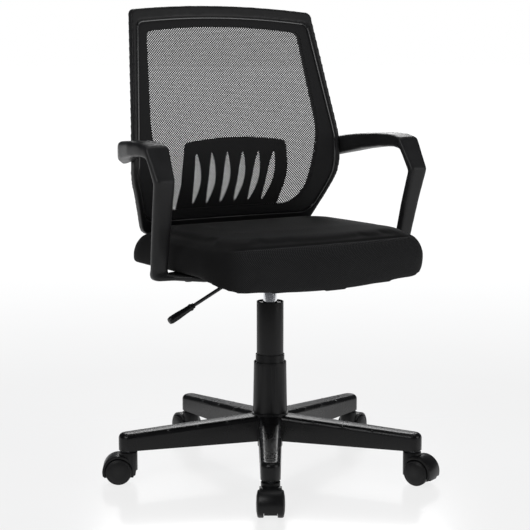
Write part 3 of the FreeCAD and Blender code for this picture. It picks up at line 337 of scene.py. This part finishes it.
def seat_cloth():
    finish = Finish("seat_weave")
    weave = finish.add("ShaderNodeAttribute", attribute_name="weave").outputs["Vector"]
    band = finish.add("ShaderNodeAttribute", attribute_name="band").outputs["Fac"]
    split = finish.add("ShaderNodeSeparateXYZ")
    finish.link(weave, split, "Vector")
    turn = 2 * math.pi / HOLE_PITCH
    across = finish.math("SINE", finish.math("MULTIPLY", split.outputs["X"], turn))
    upward = finish.math("SINE", finish.math("MULTIPLY", split.outputs["Y"], turn))
    dots = finish.math("MULTIPLY", across, upward)
    holes = finish.math("MULTIPLY", finish.ramp(dots, (HOLE_EDGE[0], 0.0), (HOLE_EDGE[1], 1.0)), band)
    thread = finish.noise(1.1 * MM, detail=2.0, rough=0.6, stretch=(1.0, 1.0, 2.4))
    cloud = finish.noise(60 * MM, detail=3.0)
    base = finish.ramp(cloud, (0.3, grey(CLOTH_GREYS[0])), (0.7, grey(CLOTH_GREYS[1])))
    # The hole dots are coloured lighter, partly as the mesh's pattern and partly as a painted sheen highlight
    # on the front band.
    dots_and_painted_sheen = finish.ramp(holes, (0.0, BLACK), (1.0, HOLE_DOTS_AND_PAINTED_SHEEN))
    mixed = finish.add("ShaderNodeMix", data_type="RGBA", blend_type="ADD")
    mixed.inputs["Factor"].default_value = 1.0
    finish.link(base, mixed, "A")
    finish.link(dots_and_painted_sheen, mixed, "B")
    finish.link(mixed.outputs["Result"], finish.shader, "Base Color")
    finish.set(Roughness=0.80, Sheen_Weight=0.015, Sheen_Roughness=0.5, Specular_IOR_Level=0.14)
    woven = finish.bump(thread, depth=0.25 * MM, strength=0.5)
    finish.bump(holes, depth=0.6 * MM, strength=0.7, under=woven)
    return finish.material


seat_fabric = seat_cloth()
print(f"{seat_fabric.name}: holes {HOLE_PITCH / MM:.1f} mm apart")

# %% [markdown]
# The back is a warp-knitted net of black polyester. Its threads are real geometry further on, so the
# material only needs the twist of the fibres and a slight sheen.


# %% Net thread
def net_thread():
    finish = Finish("net_thread")
    fibres = finish.noise(0.6 * MM, detail=3.0, rough=0.7, stretch=(1.0, 1.0, 0.5))
    finish.link(finish.ramp(fibres, (0.3, grey(0.005)), (0.7, grey(0.012))), finish.shader, "Base Color")
    finish.set(Roughness=0.7, Sheen_Weight=0.01, Specular_IOR_Level=0.2)
    finish.bump(fibres, depth=0.2 * MM, strength=0.6)
    return finish.material


net_fabric = net_thread()
print(f"{len(bpy.data.materials)} finishes in all")

# %% [markdown]
# Each node of the frame has a material slot, a plain word for what it is made of. Here every node takes the
# finish of its slot. The pieces modelled again below take theirs from the same table, except the armrests,
# which get a finish of their own.

# %% Finish the nodes that stay
slot_finish = {
    "frame_plastic": frame_plastic,
    "base_nylon": base_nylon,
    "caster_plastic": caster_plastic,
    "wheel_plastic": wheel_plastic,
    "sleeve_plastic": sleeve_plastic,
    "bearing_plastic": bearing_plastic,
    "bumper_rubber": bumper_rubber,
    "chrome_tube": chrome,
    "bare_steel": zinc,
    "black_steel": powder_steel,
    "panel_wood": panel_wood,
    "cover_cloth": cover_cloth,
    "bead_gloss": bead_gloss,
    "lever_plastic": lever_plastic,
    "seat_fabric": seat_fabric,
    "back_mesh_fabric": net_fabric,
}
node_slot = {part["node"]: part["material_slot"] for part in frame["record"]["subparts"]}

for name, node in nodes.items():
    node.data.materials.clear()
    node.data.materials.append(slot_finish[node_slot[name]])
print(f"finished {len(nodes)} nodes")

# %% [markdown]
# A moulded part has no knife edge: the tool leaves a radius on every rim, and that radius is what catches
# the light. A copy of a frame node is merged into one skin first. Turned and thin pieces then get a bevel
# on their sharp edges, and the big free-form mouldings are remeshed finely and relaxed, which rounds every
# edge alike.


# %% Shaping helpers
MERGE_REACH = 0.01 * MM
FLAT_ANGLE = math.radians(0.3)


def only(piece):
    """Makes the piece the only one selected, and the active one."""
    bpy.ops.object.select_all(action="DESELECT")
    piece.select_set(True)
    bpy.context.view_layer.objects.active = piece


def applied(piece, kind, **settings):
    """Adds a modifier with these settings and applies it."""
    only(piece)
    made = piece.modifiers.new(kind.lower(), kind)
    for key, value in settings.items():
        setattr(made, key, value)
    bpy.ops.object.modifier_apply(modifier=made.name)


def merged_copy(node, name):
    """A copy of a frame node with its loose triangles joined into one skin."""
    piece = bpy.data.objects.new(name, nodes[node].data.copy())
    bpy.context.collection.objects.link(piece)
    only(piece)
    bpy.ops.object.mode_set(mode="EDIT")
    bpy.ops.mesh.select_all(action="SELECT")
    bpy.ops.mesh.remove_doubles(threshold=MERGE_REACH)
    bpy.ops.mesh.dissolve_limited(angle_limit=FLAT_ANGLE)
    bpy.ops.mesh.normals_make_consistent(inside=False)
    bpy.ops.object.mode_set(mode="OBJECT")
    return piece


def body_of(node):
    """The moving body that a node belongs to."""
    return next(body for body, names in frame["record"]["behaviour"]["bodies"].items() if node in names)


def hand_over(piece, node, material):
    """The piece takes the node's place and body, and gets its finish."""
    piece.data.materials.clear()
    piece.data.materials.append(material)
    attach(piece, body_of(node))
    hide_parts(node)


print("shaping helpers: only, applied, merged_copy, body_of and hand_over")

# %% [markdown]
# The two ways to round a piece. A bevel keeps every flat face flat and only rolls the edges that are
# sharper than an angle. A remesh makes one even skin of small squares, and relaxing it rounds all edges and
# also the inner corners, at the price of many more faces.

# %% Two ways to round a piece
SHARP_ANGLE = math.radians(32)
SMOOTH_ANGLE = math.radians(38)
BEVEL_STEPS = 2
RELAX = 0.5


def bevelled(node, width):
    """A node with a rolled edge; width in millimetres."""
    piece = merged_copy(node, node + "_shape")
    applied(piece, "BEVEL", width=width * MM, segments=BEVEL_STEPS, limit_method="ANGLE",
            angle_limit=SHARP_ANGLE)
    only(piece)
    bpy.ops.object.shade_smooth_by_angle(angle=SMOOTH_ANGLE)
    hand_over(piece, node, slot_finish[node_slot[node]])
    print(f"{node}: {len(piece.data.polygons)} faces, edges rolled by {width} mm")


def moulding(node, voxel, rounds, finish):
    """A node remeshed at a voxel size in millimetres and relaxed a number of rounds."""
    piece = merged_copy(node, node + "_shape")
    applied(piece, "REMESH", mode="VOXEL", voxel_size=voxel * MM)
    applied(piece, "SMOOTH", factor=RELAX, iterations=rounds)
    only(piece)
    bpy.ops.object.shade_smooth()
    hand_over(piece, node, finish)
    print(f"{node}: {len(piece.data.polygons)} faces, {rounds} rounds of relaxing")


# %% [markdown]
# The hoop of the back, the armrests and the lumbar plate are large injection mouldings with soft edges all
# round. A remesh suits them, because their sections change along the way and meet in blended corners. The
# armrests are relaxed longest, since their loops turn in wide bends.

# %% Large mouldings
moulding("back_frame", voxel=2.1, rounds=5, finish=frame_plastic)
moulding("lumbar_plate", voxel=1.3, rounds=4, finish=slot_finish[node_slot["lumbar_plate"]])
for side in ("left", "right"):
    moulding(f"{side}_arm", voxel=1.9, rounds=45, finish=arm_plastic)

# %% [markdown]
# The base, the casters, the column's sleeves and the lever are compact pieces with flat faces and crisp
# rims. A remesh would blur them, so a small bevel is truer. Its width is the radius that the tool leaves,
# from a third of a millimetre on turned metal to one millimetre on the hoods.

# %% Base, casters, column and lever
EDGE_WIDTHS = {"star_base": 0.8}
for number in range(1, 6):
    EDGE_WIDTHS[f"caster_hood_{number}"] = 1.0
    EDGE_WIDTHS[f"wheel_left_{number}"] = 0.5
    EDGE_WIDTHS[f"wheel_right_{number}"] = 0.5
EDGE_WIDTHS.update(lower_sleeve=0.7, middle_sleeve=0.5, upper_sleeve=0.6, pressure_tube=0.3)
EDGE_WIDTHS.update(lever_rod=0.3, lever_grip=0.5, back_bead=0.9, seat_plate=0.5, back_bracket=0.6)

for node, width in EDGE_WIDTHS.items():
    bevelled(node, width)
print(f"{len(EDGE_WIDTHS)} bevelled pieces")

# %% [markdown]
# The net is stretched in the hoop, on a curved face that the frame gives. Two questions are asked of that
# frame for every point of the net: how far back the face lies there, and whether the hoop's ledge is behind
# it. Both are answered by casting a ray straight back at a search tree of the node's faces.

# %% Rays at the net's face and at the hoop
BACKWARDS = Vector((0, 1, 0))
RAY_START_Y = -1.0
LEDGE_REACH = 50 * MM
NET_INSET = 0.5 * MM
net_low, net_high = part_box("back_mesh")


def node_tree(node):
    """A search tree of a frame node's faces, for casting rays at it."""
    mesh = nodes[node].data
    points = [vert.co for vert in mesh.vertices]
    return BVHTree.FromPolygons(points, [face.vertices for face in mesh.polygons])


face_tree = node_tree("back_mesh")
ledge_tree = node_tree("back_frame")


def face_y(x, z):
    """Y of the net's front face, or None outside it."""
    hit = face_tree.ray_cast(Vector((x, RAY_START_Y, z)), BACKWARDS)[0]
    return hit.y if hit else None


def is_open(x, z):
    """True where nothing of the hoop lies behind the net."""
    y = face_y(x, z)
    if y is None:
        return False
    return ledge_tree.ray_cast(Vector((x, y + NET_INSET, z)), BACKWARDS, LEDGE_REACH)[0] is None


print(f"the net is {net_high.x - net_low.x:.3f} m wide and {net_high.z - net_low.z:.3f} m tall")

# %% [markdown]
# The net starts as a flat grid, stood upright. Poking every cell puts a point in its middle, and dissolving
# the grid's own lines then leaves diamonds, which is how the threads of such a net cross.

# %% A sheet of diamonds
CELL = (5.4 * MM, 5.0 * MM)
UPRIGHT_TURN = -math.pi / 2
STRAIGHT = 0.01 * MM


def diamond_grid(name):
    """A flat upright sheet of diamonds, as large as the net's box."""
    wide, tall = net_high.x - net_low.x, net_high.z - net_low.z
    columns, rows = round(wide / CELL[0]), round(tall / CELL[1])
    middle = ((net_low.x + net_high.x) / 2, 0, (net_low.z + net_high.z) / 2)
    bpy.ops.object.select_all(action="DESELECT")
    bpy.ops.mesh.primitive_grid_add(x_subdivisions=columns, y_subdivisions=rows, size=1)
    grid = bpy.context.object
    grid.name = name
    bpy.ops.object.mode_set(mode="EDIT")
    bpy.ops.mesh.select_all(action="SELECT")
    bpy.ops.transform.resize(value=(wide, tall, 1))
    bpy.ops.transform.rotate(value=UPRIGHT_TURN, orient_axis="X", center_override=(0, 0, 0))
    bpy.ops.transform.translate(value=middle)
    bpy.ops.mesh.poke()
    skin = bmesh.from_edit_mesh(grid.data)
    for edge in skin.edges:
        a, b = (vert.co for vert in edge.verts)
        along = abs(a.x - b.x) < STRAIGHT or abs(a.z - b.z) < STRAIGHT
        edge.select = along and not edge.is_boundary
    bpy.ops.mesh.select_mode(type="EDGE")
    bpy.ops.mesh.dissolve_edges(use_verts=False)
    bpy.ops.object.mode_set(mode="OBJECT")
    return grid


threads = diamond_grid("back_net")
print(f"{len(threads.data.polygons)} diamonds in the sheet")

# %% [markdown]
# The sheet is cut to the net's outline, and then sorted in two. Over the open field the diamonds will
# become threads. Over the hoop's ledge they stay a thin closed hem, because the net lies on black plastic
# there. Which diamond is open is noted by its centre, so that the sheet and its copy are sorted alike.


# %% Cut to the outline, and sorted in two
def keep_faces(piece, wanted):
    """Deletes the faces that the test turns down."""
    only(piece)
    bpy.ops.object.mode_set(mode="EDIT")
    bpy.ops.mesh.select_mode(type="FACE")
    skin = bmesh.from_edit_mesh(piece.data)
    for face in skin.faces:
        face.select_set(not wanted(face))
    bpy.ops.mesh.delete(type="FACE")
    bpy.ops.object.mode_set(mode="OBJECT")


def on_net(face):
    return all(face_y(vert.co.x, vert.co.z) is not None for vert in face.verts)


def centre_key(centre):
    return round(centre.x, 5), round(centre.z, 5)


keep_faces(threads, on_net)
open_faces = {}
for face in threads.data.polygons:
    corners = [threads.data.vertices[index].co for index in face.vertices]
    open_faces[centre_key(face.center)] = any(is_open(corner.x, corner.z) for corner in corners)


def face_is_open(face):
    return open_faces.get(centre_key(face.calc_center_median()), False)


hem = threads.copy()
hem.data = threads.data.copy()
bpy.context.collection.objects.link(hem)
keep_faces(threads, face_is_open)
keep_faces(hem, lambda face: not face_is_open(face))
print(f"{len(threads.data.polygons)} open diamonds, {len(hem.data.polygons)} in the hem")

# %% [markdown]
# The Wireframe modifier turns each edge of the open diamonds into a thread, and Solidify gives the hem the
# same thickness. Joined, they are one flat sheet of real threads.

# %% Threads and hem
THREAD = 2.7 * MM
applied(threads, "WIREFRAME", thickness=THREAD, use_even_offset=False, use_replace=True, use_boundary=True)
applied(hem, "SOLIDIFY", thickness=THREAD, offset=0.0)
print(f"{len(threads.data.polygons)} thread faces, {len(hem.data.polygons)} hem faces")
bpy.ops.object.select_all(action="DESELECT")
hem.select_set(True)
threads.select_set(True)
bpy.context.view_layer.objects.active = threads
bpy.ops.object.join()
net = threads

# %% [markdown]
# Last, every point is moved back on to the curved face. A thread is as thick as it is wide until then, so
# its depth is flattened too. A point of the rim can hang just past the outline, where a ray finds nothing:
# it takes the depth of a place a little nearer to the net's middle.

# %% The net on its face
FLATTEN = 0.36
TOWARDS_MIDDLE_X = 0.985
TOWARDS_MIDDLE_Z = 0.99
NET_MIDDLE_Z = 0.7
LAST_RESORT_Y = 0.12
ROUND_THREAD = math.radians(40)


def nearest_face_y(x, z):
    inward_x = x * TOWARDS_MIDDLE_X
    inward_z = z * TOWARDS_MIDDLE_Z + NET_MIDDLE_Z * (1 - TOWARDS_MIDDLE_Z)
    for place in ((x, z), (inward_x, z), (inward_x, inward_z)):
        y = face_y(*place)
        if y is not None:
            return y
    return LAST_RESORT_Y


for vert in net.data.vertices:
    vert.co.y = nearest_face_y(vert.co.x, vert.co.z) + NET_INSET + vert.co.y * FLATTEN
only(net)
bpy.ops.object.shade_smooth_by_angle(angle=ROUND_THREAD)
hand_over(net, "back_mesh", net_fabric)

# %% [markdown]
# The seat is a foam pad under a sewn cover that wraps round the board below it, so no wood shows. The
# frame's solids give its space: copies of the pad and the board are joined, remeshed into one skin of even
# squares that cloth can move, relaxed, and drawn in a little to leave room for the swelling.

# %% One skin round pad and board
PAD_VOXEL = 5 * MM
PAD_RELAX_ROUNDS = 5
PAD_SHRINK = 1 * MM
FACING_DOWN = -0.6
pad = merged_copy("seat_cushion", "seat_pad")
board = merged_copy("seat_panel", "seat_board")
board.select_set(True)
pad.select_set(True)
bpy.context.view_layer.objects.active = pad
bpy.ops.object.join()
applied(pad, "REMESH", mode="VOXEL", voxel_size=PAD_VOXEL)
applied(pad, "SMOOTH", factor=RELAX, iterations=PAD_RELAX_ROUNDS)
underside = [vert.index for vert in pad.data.vertices if vert.normal.z < FACING_DOWN]
applied(pad, "DISPLACE", strength=-PAD_SHRINK, mid_level=0.0)
rest = [(vert.co.copy(), vert.normal.copy()) for vert in pad.data.vertices]
print(f"{len(rest)} points in the pad's skin, {len(underside)} of them below")

# %% [markdown]
# The cover bulges between its edges as foam makes it do. A cloth simulation with pressure inside blows it
# up, with the underside pinned where it rests on the plate. A point may only move outwards, and no further
# than a cap, which keeps the pad in its space. A last round of subdivision makes the surface fine.

# %% Pad blown up as cloth
PAD_CAP = 4 * MM
PAD_PRESSURE = 4.0
PAD_STEPS = 20
PAD_LAST_RELAX_ROUNDS = 3

only(pad)
held = pad.vertex_groups.new(name="held")
held.add(underside, 1.0, "REPLACE")
cloth = pad.modifiers.new("cloth", "CLOTH")
cloth.settings.use_pressure = True
cloth.settings.uniform_pressure_force = PAD_PRESSURE
cloth.settings.effector_weights.gravity = 0.0
cloth.settings.vertex_group_mass = "held"
for step in range(1, PAD_STEPS + 1):
    bpy.context.scene.frame_set(step)
bpy.ops.object.modifier_apply(modifier="cloth")
bpy.context.scene.frame_set(1)
for vert, (start, outward) in zip(pad.data.vertices, rest):
    rise = (vert.co - start).dot(outward)
    vert.co = start + outward * min(max(rise, 0.0), PAD_CAP)
applied(pad, "SMOOTH", factor=RELAX, iterations=PAD_LAST_RELAX_ROUNDS)
applied(pad, "SUBSURF", levels=1, render_levels=1)
print(f"seat pad: {len(pad.data.polygons)} faces")

# %% [markdown]
# The pad's front band starts at a sewn line a little in from the front edge. To follow that edge round the
# corners, every point of the pad is told how far along the edge it lies and how far inside it. The edge is
# a shallow bow between two corner arcs, and runs straight back from there.

# %% Places along the front edge
CORNER = 66 * MM
FRONT_BOW = 12 * MM
QUARTER_TURN = math.pi / 2
pad_low, pad_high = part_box("seat_cushion")
corner_y = pad_low.y + FRONT_BOW + CORNER
corner_x = pad_high.x - CORNER


def along_edge(x, y):
    """Distance round the front of the seat, and how far inside its edge a point lies."""
    side = 1 if x >= 0 else -1
    ax, ay = abs(x) - corner_x, corner_y - y
    if ax > 0 and ay > 0:
        angle = math.atan2(ax, ay)
        return side * (corner_x + CORNER * angle), CORNER - math.hypot(ax, ay)
    if ay > 0:
        bow = FRONT_BOW * (1 - (x / corner_x) ** 2)
        return x, CORNER - ay + bow
    return side * (corner_x + CORNER * QUARTER_TURN - ay), CORNER - ax


def fade(value, low, high):
    """Rises smoothly from 0 at low to 1 at high."""
    share = min(max((value - low) / (high - low), 0.0), 1.0)
    return share * share * (3 - 2 * share)


print(f"corner arcs of {CORNER:.3f} m about x {corner_x:.3f} and y {corner_y:.3f}")

# %% [markdown]
# The sewn line is a shallow groove, a bell curve in section, that fades at the corners. The attributes for
# the cloth are written in the same pass, since only now is the surface final.

# %% Sewn line and cloth attributes
GROOVE = 1.6 * MM
GROOVE_WIDTH = 3.2 * MM
GROOVE_REACH = 3 * GROOVE_WIDTH
SEAM_IN = 25 * MM
SEAM_EDGE = 2 * MM
FADE_FROM = -30 * MM
FADE_TO = 20 * MM
FACING_UP = 0.15
ROWS_PER_DEPTH = 0.3

pad.data.attributes.new("weave", "FLOAT_VECTOR", "POINT")
pad.data.attributes.new("band", "FLOAT", "POINT")
weave = pad.data.attributes["weave"]
band = pad.data.attributes["band"]
seam_reach = corner_x + CORNER / 2
for index, vert in enumerate(pad.data.vertices):
    x, y, z = vert.co
    along, inside = along_edge(x, y)
    weave.data[index].vector = (along, z - ROWS_PER_DEPTH * y, 0)
    top = vert.normal.z > FACING_UP
    fading = 1 - fade(abs(along), seam_reach + FADE_FROM, seam_reach + FADE_TO)
    before_seam = 1 - fade(inside, SEAM_IN - SEAM_EDGE, SEAM_IN) if top else 1.0
    band.data[index].value = fading * before_seam
    if top and abs(inside - SEAM_IN) < GROOVE_REACH:
        vert.co -= vert.normal * GROOVE * fading * math.exp(-((inside - SEAM_IN) / GROOVE_WIDTH) ** 2)
only(pad)
bpy.ops.object.shade_smooth()
hand_over(pad, "seat_cushion", seat_fabric)
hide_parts("seat_panel")
print(f"sewn line {SEAM_IN / MM:.0f} mm in from the edge")

# %% [markdown]
# The floor is a wide pale sheet with a little gloss, so that the casters and the legs leave a faint mirror
# image and soft shadows. It glows a little less under the chair than far away, where it has to meet the
# white backdrop without a line. It lies a hair below the wheels, so the two never share a face.

# %% Floor
FLOOR_SIZE = 400
FLOOR_DROP = 0.4 * MM
CLOUD_SIZE = 0.4
FLOOR_GREYS = (0.115, 0.125)
GLOW_NEAR = 0.80
GLOW_FAR = 1.0
GLOW_REACH = 5.0
bpy.ops.mesh.primitive_plane_add(size=FLOOR_SIZE, location=(0, 0, -FLOOR_DROP))
floor = bpy.context.object
floor.name = "floor"
pale = Finish("pale_floor")
pale.set(Roughness=0.16, Emission_Strength=1.0)
cloud = pale.noise(CLOUD_SIZE, detail=2.0)
pale.link(pale.ramp(cloud, (0.3, FLOOR_GREYS[0]), (0.7, FLOOR_GREYS[1])), pale.shader, "Base Color")
distance = pale.add("ShaderNodeVectorMath", operation="LENGTH")
pale.link(pale.place, distance, "Vector")
reach = pale.math("DIVIDE", distance.outputs["Value"], GLOW_REACH)
pale.link(pale.ramp(reach, (0.2, GLOW_NEAR), (0.8, GLOW_FAR)), pale.shader, "Emission Color")
floor.data.materials.append(pale.material)
print(f"floor {FLOOR_SIZE} m square, glowing {GLOW_NEAR} near the chair and {GLOW_FAR} far away")
